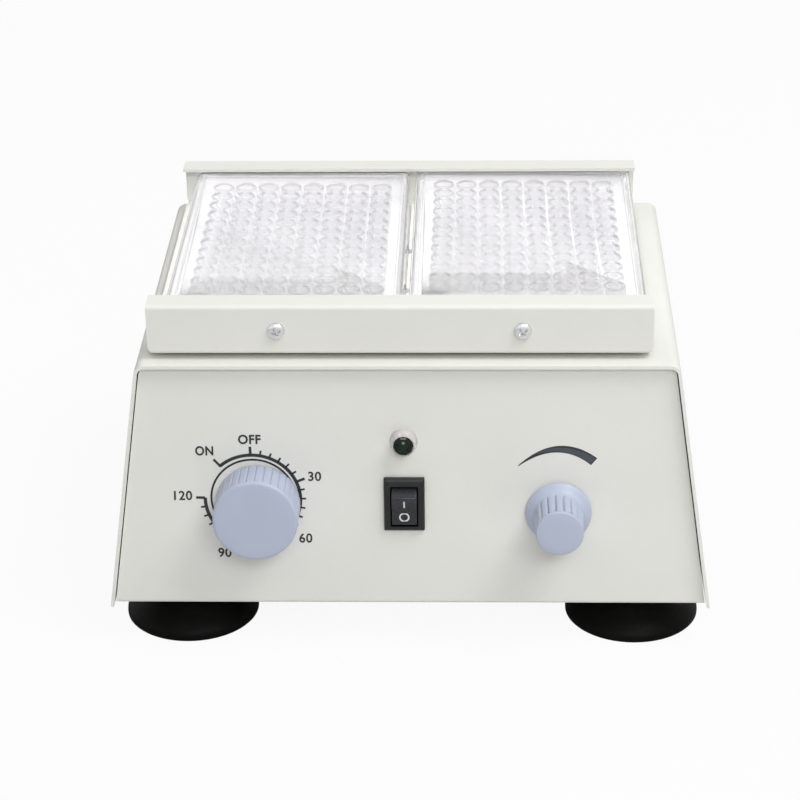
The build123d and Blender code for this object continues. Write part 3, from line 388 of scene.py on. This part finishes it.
def plate_shape():
    """Clear 96-well plate: deck, wells, double wall and skirt as one closed skin."""
    shapes = []
    in_x, in_y = 39.3, 60.45
    low_x, low_y = 39.9, 61.0
    under = DECK - DECK_THICKNESS
    floor_in = DECK - WELL_DEPTH
    floor_out = floor_in - WELL_FLOOR
    inside = [(4.15, DECK), (4.05, DECK + 0.45), (3.62, DECK + 0.5), (3.45, DECK + 0.3),
              (3.2, floor_in + 0.3), (2.9, floor_in)]
    outside = [(4.2, under), (4.0, floor_out + 0.4), (3.5, floor_out)]
    for side_z, half_x, half_y, profile in ((DECK, in_x, in_y, inside), (under, low_x, low_y, outside)):
        xs, ys = cell_edges(COLUMNS, half_x), cell_edges(ROWS, half_y)
        for i in range(COLUMNS):
            for j in range(ROWS):
                cx, cy = (i - (COLUMNS - 1) / 2) * PITCH, (j - (ROWS - 1) / 2) * PITCH
                cell = cell_ring(xs[i], xs[i + 1], ys[j], ys[j + 1])
                rings = [(cell, side_z)] + [(circle(cx, cy, r), z) for r, z in profile]
                shapes.append(ring_stack(rings, close_low=False))
    loops = [(in_x, in_y, 0.8, PLATE_TOP - 0.2), (in_x + 0.2, in_y + 0.2, 0.9, PLATE_TOP),
             (40.84, 61.98, 2.3, PLATE_TOP), (41.04, 62.18, 2.5, PLATE_TOP - 0.2),
             (41.04, 62.18, 2.5, 2.9), (41.3, 62.4, 2.7, 2.5), (42.5, 63.64, 3.1, 2.4),
             (42.74, 63.88, 3.2, 2.15), (42.74, 63.88, 3.2, 0.15), (42.6, 63.74, 3.1, 0),
             (41.5, 62.65, 2.3, 0), (41.4, 62.5, 2.2, 1.3), (low_x, low_y, 0.9, 1.9)]
    rings = [(deck_boundary(in_x, in_y), DECK)]
    for half_x, half_y, radius, z in loops:
        rings.append(([rounded(x * half_x / in_x, y * half_y / in_y, half_x, half_y, radius)
                       for x, y in deck_boundary(in_x, in_y)], z))
    rings.append(([rounded(x, y, low_x, low_y, 0.9) for x, y in deck_boundary(low_x, low_y)], under - 0.5))
    rings.append((deck_boundary(low_x, low_y), under))
    shapes.append(ring_stack(rings, close_low=False, close_high=False))
    return merge(shapes)


def lid_shape():
    """Clear lid: flat top with a shallow raised border and a skirt."""
    loops = [(38.6, 59.75, 1.6, 15.12), (39.0, 60.15, 1.8, 15.35), (41.5, 62.65, 2.5, 15.35),
             (42.1, 63.25, 2.9, 15.22), (42.32, 63.46, 3.1, 14.9), (42.32, 63.46, 3.1, 7.2),
             (42.2, 63.34, 3.0, 7.0), (41.7, 62.84, 2.6, 7.0), (41.56, 62.7, 2.5, 7.2),
             (41.56, 62.7, 2.5, 14.1), (41.3, 62.45, 2.3, 14.36), (39.3, 60.4, 1.4, 14.36),
             (38.9, 60.0, 1.3, 14.15)]
    return ring_stack([(rect_ring(hx, hy, r, 60, 90), z) for hx, hy, r, z in loops])


def make_plates():
    plate_points, plate_faces = plate_shape()
    lid_points, lid_faces = lid_shape()
    for side in ("left", "right"):
        low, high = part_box("microplate_" + side)
        place = Matrix.Translation(((low.x + high.x) / 2, (low.y + high.y) / 2, low.z))
        plate = mesh_piece("plate_skin_" + side, plate_points, plate_faces, PLATE, place, 30.0)
        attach(plate, "plate_" + side)
        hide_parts("microplate_" + side)
        lid = mesh_piece("lid_skin_" + side, lid_points, lid_faces, LID, place, 30.0)
        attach(lid, "plate_" + side)
        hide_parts("lid_" + side)


make_plates()


# Knobs

def groove(angle, count, width):
    """0 on a rib and 1 in the middle of a groove."""
    part = (angle / (2 * math.pi) * count) % 1.0
    away = min(part, 1 - part)
    return max(0.0, 1 - away / width)


def make_timer_knob():
    flutes, length = 32, 16.3
    depth, top = 0.5, 15.0                      # of the grooves

    def radius(r, z, a):
        if r < 15.0 or z > top:
            return r
        fade = min(1.0, (top - z) / 0.5)
        return r - depth * fade * groove(a, flutes, 0.1)

    profile = [(13.2, 14.0), (13.2, 0.7), (13.4, 0.6), (15.2, 0.6), (15.4, 0.9), (15.4, 3.0), (15.4, 6.0),
               (15.4, 9.0), (15.4, 12.0), (15.4, 14.4), (15.4, 14.75), (15.4, 15.05), (15.33, 15.5),
               (15.12, 15.9), (14.75, 16.12), (14.0, 16.18), (11.0, 16.24), (6.0, 16.28), (1.0, length)]
    points, faces = lathe(profile, flutes * 12, radius)
    knob = mesh_piece("timer_knob_skin", points, faces, KNOB, panel_matrix(-54.6, 58.6), 50.0)
    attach(knob, "timer_dial")
    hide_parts("timer_knob")


def make_speed_knob():
    flutes, length = 18, 18.8
    depth, low, top = 0.8, 4.6, 17.3            # of the grooves

    def radius(r, z, a):
        if z < low or z > top or r < 8.2:
            return r
        fade = min(1.0, (top + 0.3 - z) / 0.4, (z - low) / 0.5)
        return r - depth * fade * groove(a, flutes, 0.16) - 0.05 * fade * math.cos(a * flutes)

    profile = [(7.4, 3.4), (7.4, 0.7), (7.6, 0.6), (11.7, 0.6), (11.95, 0.8), (12.0, 1.2), (11.8, 1.6),
               (11.3, 2.1), (10.5, 2.7), (9.7, 3.4), (9.2, 4.1), (9.0, 4.6), (8.95, 5.2), (8.8, 9.0),
               (8.65, 13.0), (8.55, 17.0), (8.55, 17.35), (8.25, 17.45), (8.25, 17.75), (8.55, 17.85),
               (8.55, 18.3), (8.35, 18.6), (8.0, 18.72), (5.0, 18.77), (1.0, length)]
    points, faces = lathe(profile, flutes * 14, radius)
    knob = mesh_piece("speed_knob_skin", points, faces, KNOB, panel_matrix(54.6, 55.1), 50.0)
    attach(knob, "speed_dial")
    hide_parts("speed_knob")


make_timer_knob()
make_speed_knob()


# Power switch

TERMINAL = [(-2.4, -0.4), (2.4, -0.4), (2.4, 0.4), (-2.4, 0.4)]
ROCKER_TILT = math.radians(13)                  # at rest, half of what it rocks through


def make_switch():
    matrix = panel_matrix(-1.4, 58.5)
    opening = -0.75                             # of the opening's middle below the frame's
    loops = [(6.45, 8.85, 0.3, -12.5, 0), (6.45, 8.85, 0.3, 0.0, 0), (7.3, 10.3, 0.2, 0.0, 0),
             (7.4, 10.4, 0.25, 0.1, 0), (7.4, 10.4, 0.25, 1.2, 0), (6.9, 9.75, 0.25, 1.85, 0),
             (6.65, 9.45, 0.25, 2.0, 0), (5.1, 8.1, 0.2, 2.0, opening), (4.95, 7.95, 0.15, 1.85, opening),
             (4.95, 7.95, 0.15, -10.5, opening)]
    points, faces = ring_stack([([(x, y + dy) for x, y in rect_ring(hx, hy, r, 24, 32)], z)
                                for hx, hy, r, z, dy in loops])
    terminals = [prism([(x, y + v) for x, y in TERMINAL], -21.0, -12.4) for v in (-5.0, 0.0)]
    points, faces = merge([(points, faces)] + terminals)
    obj = mesh_piece("switch_frame_skin", points, faces, BLACK, matrix, 30.0)
    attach(obj, "base")
    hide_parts("switch_frame")
    pivot = matrix @ Matrix.Translation((0, opening * MM, -0.001))
    make_rocker(pivot @ Matrix.Rotation(ROCKER_TILT, 4, "X"))


def make_rocker(tilt):
    """Rocker with two shallow dished faces that meet in a fold, and its two marks."""
    half, reach, spread, tail = 4.55, 7.65, math.radians(50), math.radians(20)
    fold, dish = 0.9, 0.22                      # how far each face falls to the fold, and sags on its way
    top_v, top_w = reach * math.cos(math.pi / 2 - spread), reach * math.sin(math.pi / 2 - spread)
    side = [(reach * math.cos(a), reach * math.sin(a))
            for a in [(-tail + (math.pi / 2 - spread + tail) * k / 8) for k in range(9)]]

    def face_height(v):
        t = abs(v) / top_v
        return top_w - fold * (1 - t) - dish * math.sin(math.pi * t)

    face = [(v, face_height(v)) for v in [top_v * (1 - k / 8) for k in range(1, 16)]]
    outline = side + face + [(-v, w) for v, w in reversed(side)]
    points, faces = prism(outline, -half, half)
    points = [(x, v, w) for v, w, x in points]
    rocker = mesh_piece("rocker_skin", points, faces, ROCKER, tilt, 30.0)
    add_bevel(rocker, 0.35, 3, 45.0)
    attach(rocker, "switch_rocker")
    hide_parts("rocker")

    def on_face(shape, v_middle, name):
        slope = (face_height(v_middle + 0.8) - face_height(v_middle - 0.8)) / 1.6
        place = tilt @ Matrix.Translation((0, v_middle * MM, (face_height(v_middle) + 0.02) * MM))
        place = place @ Matrix.Rotation(math.atan(slope), 4, "X")
        mark = mesh_piece(name, *shape, MARK, place)
        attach(mark, "switch_rocker")

    on_face(prism([(-0.28, -1.6), (0.28, -1.6), (0.28, 1.6), (-0.28, 1.6)], -0.2, 0.12), 2.9, "mark_on")
    on_face(strip(1.35, 1.9, 0, 360, 40, -0.15, 0.06), -2.9, "mark_off")


make_switch()


# Power lamp

def make_lamp():
    matrix = panel_matrix(-1.4, 83.2)
    profile = [(3.65, -12.0), (3.95, -12.0), (3.95, -0.05), (5.0, 0.0), (5.15, 0.15), (5.15, 0.7),
               (5.05, 0.95), (4.75, 2.2), (4.4, 3.7), (4.2, 5.0), (4.1, 5.3), (3.95, 5.4), (3.75, 5.35),
               (3.65, 5.1), (3.65, -12.0)]
    points, faces = lathe(profile, 72)
    faces = faces[:-2]                          # the profile closes on itself, so it has no end faces
    bezel = mesh_piece("lamp_bezel_skin", points, faces, LAMP_CLEAR, matrix, 30.0)
    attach(bezel, "base")
    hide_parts("lamp_bezel")

    profile = [(3.6, -8.0), (3.6, 4.7), (3.45, 5.15), (2.9, 5.4), (2.75, 5.25), (2.1, 5.65), (1.9, 5.45),
               (1.1, 5.85), (0.9, 5.7), (0.3, 5.9)]
    points, faces = lathe(profile, 10)
    lens = mesh_piece("lamp_lens_skin", points, faces, LAMP_GREEN, matrix, 12.0)
    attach(lens, "base")
    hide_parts("lamp_lens")


make_lamp()


# Suction feet

def make_feet():
    profile = [(8.0, 3.2), (14.0, 2.5), (19.0, 1.5), (22.3, 0.0), (24.6, 0.0), (24.95, 0.4), (25.0, 1.2),
               (24.9, 2.2), (24.4, 3.2), (23.2, 4.5), (21.4, 6.1), (19.0, 8.0), (16.6, 10.0), (14.2, 12.2),
               (12.2, 13.8), (10.6, 15.0), (10.0, 15.6), (10.0, 18.0)]
    points, faces = lathe(profile, 96)
    for name in ("foot_front_left", "foot_front_right", "foot_rear_left", "foot_rear_right"):
        low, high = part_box(name)
        foot = mesh_piece(name + "_skin", points, faces, RUBBER,
                          Matrix.Translation(((low.x + high.x) / 2, (low.y + high.y) / 2, 0)), 40.0)
        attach(foot, "base")
        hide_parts(name)


make_feet()


# Cross-recessed screws that show

def screw_head(head_r=3.1, head_h=2.0, shank=5.0, flush=False):
    """Pan head with a cross recess, its underside on Z = 0, or a flush head, and a plain shank."""
    rings, count = 22, 96
    slot_reach, slot_half, slot_edge, slot_end, slot_depth = 1.75, 0.32, 0.14, 0.4, 0.85
    points = []
    profile = [max(0.02, head_r * math.sin(k / rings * math.pi / 2)) for k in range(rings)] + [head_r]
    for r in profile:
        for i in range(count):
            a = 2 * math.pi * i / count
            x, y = r * math.cos(a), r * math.sin(a)
            z = 0.0 if flush else head_h * (0.45 + 0.55 * math.sqrt(max(0.0, 1 - (r / head_r) ** 2)))
            arm = min(abs(x), abs(y))
            reach = max(abs(x), abs(y))
            if reach < slot_reach:
                across = min(1.0, max(0.0, (slot_half + slot_edge - arm) / slot_edge))
                z -= slot_depth * across * min(1.0, (slot_reach - reach) / slot_end)
            points.append((x, y, z))
    below = [(head_r, head_h * 0.1), (head_r - 0.15, 0.0), (1.45, 0.0), (1.45, 0.3 - shank), (0.9, -shank)]
    if flush:
        below = [(1.45, -head_h - 0.1), (1.45, 0.3 - shank), (0.9, -shank)]
    for r, z in below:
        for i in range(count):
            a = 2 * math.pi * i / count
            points.append((r * math.cos(a), r * math.sin(a), z))
    last = (rings + len(below)) * count
    ends = [tuple(range(count)), tuple(last + i for i in range(count))]
    return points, ring_faces(rings + 1 + len(below), count) + ends


SPRING_X = 0.0438                               # of a spring screw from the tray's middle
COVER_SCREW_Y = 0.045                           # of a cover screw from the case's middle


def make_tray_screws():
    low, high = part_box("spring_screws")
    z = (low.z + high.z) / 2
    front = tray_low.y
    middle = (tray_low.x + tray_high.x) / 2
    points, faces = screw_head()
    for side, turn in ((-1, 20.0), (1, 38.0)):
        matrix = Matrix.Translation((middle + side * SPRING_X, front, z))
        matrix = matrix @ Matrix.Rotation(math.pi / 2, 4, "X") @ Matrix.Rotation(math.radians(turn), 4, "Z")
        name = "tray_screw_left" if side < 0 else "tray_screw_right"
        screw = mesh_piece(name, points, faces, BRIGHT, matrix, 35.0)
        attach(screw, "tray")
        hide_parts("spring_screws")


make_tray_screws()


def case_half(z):
    return CASE_TOP_HALF + (CASE_TOP_Z - z) * CASE_FLARE


def make_cover_screws():
    low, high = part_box("cover_screws")
    z = (low.z + high.z) / 2 / MM
    angle = math.atan(CASE_FLARE)
    points, faces = screw_head(2.8, 1.0, 3.2, True)
    for side in (-1, 1):
        for end in (-1, 1):
            out = Vector((side * math.cos(angle), 0, math.sin(angle)))
            along = Vector((0, side, 0))
            up = out.cross(along)
            rows = Matrix((along, up, out)).transposed().to_4x4()
            place = (side * case_half(z) * MM, ROW_Y + end * COVER_SCREW_Y, z * MM)
            name = "cover_screw_" + ("l" if side < 0 else "r") + ("f" if end < 0 else "b")
            turn = Matrix.Rotation(math.radians(17 + 31 * end + 50 * side), 4, "Z")
            matrix = Matrix.Translation(place) @ rows @ turn
            screw = mesh_piece(name, points, faces, BRIGHT, matrix, 35.0)
            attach(screw, "base")
            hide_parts("cover_screws")


make_cover_screws()


# Printing on the front panel

def panel_at(x, s):
    """Place on the panel by X and by the slant distance below its top edge."""
    return x, PANEL_TOP_Z / MM - s * math.cos(LEAN)


def tick(angle, r0, r1, width):
    a = math.radians(90 - angle)
    ux, uy = math.cos(a), math.sin(a)
    vx, vy = -uy, ux
    h = width / 2
    outline = [(ux * r0 + vx * h, uy * r0 + vy * h), (ux * r1 + vx * h, uy * r1 + vy * h),
               (ux * r1 - vx * h, uy * r1 - vy * h), (ux * r0 - vx * h, uy * r0 - vy * h)]
    return prism(outline, PRINT_LOW, PRINT_HIGH)


def print_piece(name, shape, x, s, material=INK):
    obj = mesh_piece(name, *shape, material, panel_matrix(*panel_at(x, s)))
    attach(obj, "base")


CAPITAL = 0.69                                  # height of a capital in text of size 1


def print_text(name, words, x, s, height, narrow=0.94, bold=0.00012):
    curve = bpy.data.curves.new(name, "FONT")
    curve.body = words
    curve.align_x = "CENTER"
    curve.align_y = "CENTER"
    curve.size = height * MM / CAPITAL
    curve.bevel_depth = bold
    curve.bevel_resolution = 0
    curve.space_character = 1.08
    curve.materials.append(INK)
    obj = bpy.data.objects.new(name, curve)
    bpy.context.scene.collection.objects.link(obj)
    obj.matrix_world = panel_matrix(*panel_at(x, s)) @ Matrix.Diagonal((narrow, 1, 1, 1))
    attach(obj, "base")


def curve_through(a, b, c, steps):
    """Points of the parabola that passes a, b halfway and c."""
    points = []
    for k in range(steps + 1):
        t = k / steps
        la = 2 * (t - 0.5) * (t - 1)
        lb = -4 * t * (t - 1)
        lc = 2 * t * (t - 0.5)
        points.append((la * a[0] + lb * b[0] + lc * c[0], la * a[1] + lb * b[1] + lc * c[1]))
    return points


def wedge(x, s, outer, inner, low, high):
    """Band between two parabolas, each given by three places on the panel."""
    upper = [(a - x, s - b) for a, b in curve_through(*outer, 32)]
    lower = [(a - x, s - b) for a, b in curve_through(*inner, 32)]
    return prism(upper + lower[::-1], low, high)


def make_printing():
    x, s = -56.56, 51.46                        # middle of the timer's scale
    print_piece("dial_arc", strip(16.75, 18.0, -41.5, 271.4, 93), x, s)
    print_piece("dial_ring", strip(15.0, 15.75, 0, 360, 96), -56.3, 51.25)
    first, step = -1.14, 11.354                 # angles of the ticks, in degrees
    ticks = [tick(-41.3, 17.0, 20.9, 0.9)]
    for k in range(25):
        major = k % 6 == 0
        ticks.append(tick(first + k * step, 17.4, 20.7 if major else 19.4, 1.0 if major else 0.72))
    print_piece("dial_ticks", merge(ticks), x, s)
    print_text("dial_on", "ON", -73.5, 32.6, 3.4, 0.84, 0.00016)
    print_text("dial_off", "OFF", -57.1, 28.1, 3.4, 0.91, 0.00016)
    print_text("dial_30", "30", -33.9, 42.7, 3.5)
    print_text("dial_60", "60", -37.7, 67.5, 3.5)
    print_text("dial_90", "90", -67.6, 73.4, 3.5)
    print_text("dial_120", "120", -82.4, 50.4, 3.5)

    x, s = 54.0, 34.0                           # middle of the tapered arc over the speed knob
    band = wedge(x, s, ((39.8, 38.1), (54.0, 30.4), (68.3, 35.2)),
                 ((39.9, 38.4), (53.5, 32.9), (66.1, 37.9)), PRINT_LOW, PRINT_HIGH)
    print_piece("speed_arc", band, x, s)
    fill = wedge(x, s, ((46.5, 33.2), (56.8, 31.1), (67.7, 35.3)),
                 ((46.7, 33.5), (56.4, 32.8), (66.1, 37.4)), 0.04, 0.07)
    print_piece("speed_arc_fill", fill, x, s, INK_GREY)


make_printing()


# Finishes of the CAD nodes that stay

FINISH = {
    "chassis": PAINT, "top_cover": PAINT, "tray": PAINT_TRAY, "timer_knob": KNOB, "speed_knob": KNOB,
    "foot_front_left": RUBBER, "foot_front_right": RUBBER,
    "foot_rear_left": RUBBER, "foot_rear_right": RUBBER,
    "microplate_left": PLATE, "microplate_right": PLATE, "lid_left": PLATE, "lid_right": PLATE,
    "switch_frame": BLACK, "rocker": ROCKER, "lamp_bezel": LAMP_CLEAR, "lamp_lens": LAMP_GREEN,
    "lamp_nut": BLACK, "power_inlet": BLACK, "board_parts": BLACK, "control_board": BOARD,
    "fuse": LAMP_CLEAR, "transformer_coil": TAPE, "transformer_core": STEEL, "motor_can": IRON,
    "motor_plate": STEEL, "drive_crank": STEEL, "counterweight": STEEL, "timer_body": STEEL,
    "speed_control": STEEL, "idler_sleeves": BRONZE, "tray_idler_bushes": BRONZE, "inlet_pins": BRASS,
    "tray_hub": ALLOY, "tray_idler_hubs": ALLOY, "idler_housings": ALLOY, "motor_plate_pillars": ALLOY,
    "board_standoffs": ALLOY, "timer_shaft": ALLOY, "speed_shaft": ALLOY,
}
for name, obj in nodes.items():
    finish = FINISH.get(name, BRIGHT)           # screws, nuts, studs and the like are bright
    if not obj.material_slots:
        obj.data.materials.append(finish)
    for material_slot in obj.material_slots:
        material_slot.material = finish


# Floor, backdrop and light

FLOOR_HALF = 6.0
FLOOR_GREY = 0.68
FLOOR_GLOW = 0.93                               # share of plain white that the camera sees in the floor
SKY_LOW, SKY_HIGH = 0.03, 0.78                  # light of the world near the horizon and overhead
AIM = (0, 0, 0.08)


def make_stage():
    mat, tree, shader = new_material("pale_floor")
    shader.inputs["Base Color"].default_value = (FLOOR_GREY, FLOOR_GREY, FLOOR_GREY, 1)
    shader.inputs["Roughness"].default_value = 0.9
    shader.inputs["Specular IOR Level"].default_value = 0.1
    glow = tree.nodes.new("ShaderNodeEmission")
    glow.inputs["Color"].default_value = (1, 1, 1, 1)
    glow.inputs["Strength"].default_value = 1.0
    path = tree.nodes.new("ShaderNodeLightPath")
    share = tree.nodes.new("ShaderNodeMath")
    share.operation = "MULTIPLY"
    share.inputs[1].default_value = FLOOR_GLOW
    link(tree, path.outputs["Is Camera Ray"], share.inputs[0])
    mix = tree.nodes.new("ShaderNodeMixShader")
    link(tree, share.outputs["Value"], mix.inputs["Fac"])
    link(tree, shader.outputs["BSDF"], mix.inputs[1])
    link(tree, glow.outputs["Emission"], mix.inputs[2])
    link(tree, mix.outputs["Shader"], tree.nodes["Material Output"].inputs["Surface"])
    mesh = bpy.data.meshes.new("floor")
    square = [(-FLOOR_HALF, -FLOOR_HALF, 0), (FLOOR_HALF, -FLOOR_HALF, 0),
              (FLOOR_HALF, FLOOR_HALF, 0), (-FLOOR_HALF, FLOOR_HALF, 0)]
    mesh.from_pydata(square, [], [(0, 1, 2, 3)])
    mesh.materials.append(mat)
    floor = bpy.data.objects.new("floor", mesh)
    bpy.context.scene.collection.objects.link(floor)


def area_light(name, place, target, size, power):
    data = bpy.data.lights.new(name, "AREA")
    data.shape = "RECTANGLE"
    data.size = size[0]
    data.size_y = size[1]
    data.energy = power
    lamp = bpy.data.objects.new(name, data)
    bpy.context.scene.collection.objects.link(lamp)
    lamp.location = place
    lamp.rotation_euler = (Vector(target) - Vector(place)).to_track_quat("-Z", "Y").to_euler()


def make_light():
    world = bpy.data.worlds.new("studio")
    world.use_nodes = True
    tree = world.node_tree
    back = tree.nodes["Background"]
    path = tree.nodes.new("ShaderNodeLightPath")
    two_kinds = tree.nodes.new("ShaderNodeMath")
    two_kinds.operation = "ADD"
    link(tree, path.outputs["Is Camera Ray"], two_kinds.inputs[0])
    link(tree, path.outputs["Is Glossy Ray"], two_kinds.inputs[1])
    three_kinds = tree.nodes.new("ShaderNodeMath")
    three_kinds.operation = "ADD"
    link(tree, two_kinds.outputs["Value"], three_kinds.inputs[0])
    link(tree, path.outputs["Is Transmission Ray"], three_kinds.inputs[1])
    split = tree.nodes.new("ShaderNodeSeparateXYZ")
    link(tree, tree.nodes.new("ShaderNodeTexCoord").outputs["Generated"], split.inputs["Vector"])
    sky = remap(tree, split.outputs["Z"], 0.25, 0.75, SKY_LOW, SKY_HIGH)
    seen = remap(tree, three_kinds.outputs["Value"], 0.0, 1.0, 0.0, 1.0)        # holds the sum to 1
    strength = tree.nodes.new("ShaderNodeMix")
    link(tree, seen, strength.inputs["Factor"])
    link(tree, sky, strength.inputs["A"])
    strength.inputs["B"].default_value = 1.0
    link(tree, strength.outputs["Result"], back.inputs["Strength"])
    back.inputs["Color"].default_value = (1, 1, 1, 1)
    bpy.context.scene.world = world
    area_light("key", (0.7, -0.45, 1.35), AIM, (0.6, 0.6), 10.0)
    area_light("front", (0.3, -1.35, 1.05), AIM, (0.9, 0.4), 8.2)


make_stage()
make_light()
bpy.context.scene.view_settings.view_transform = "Standard"
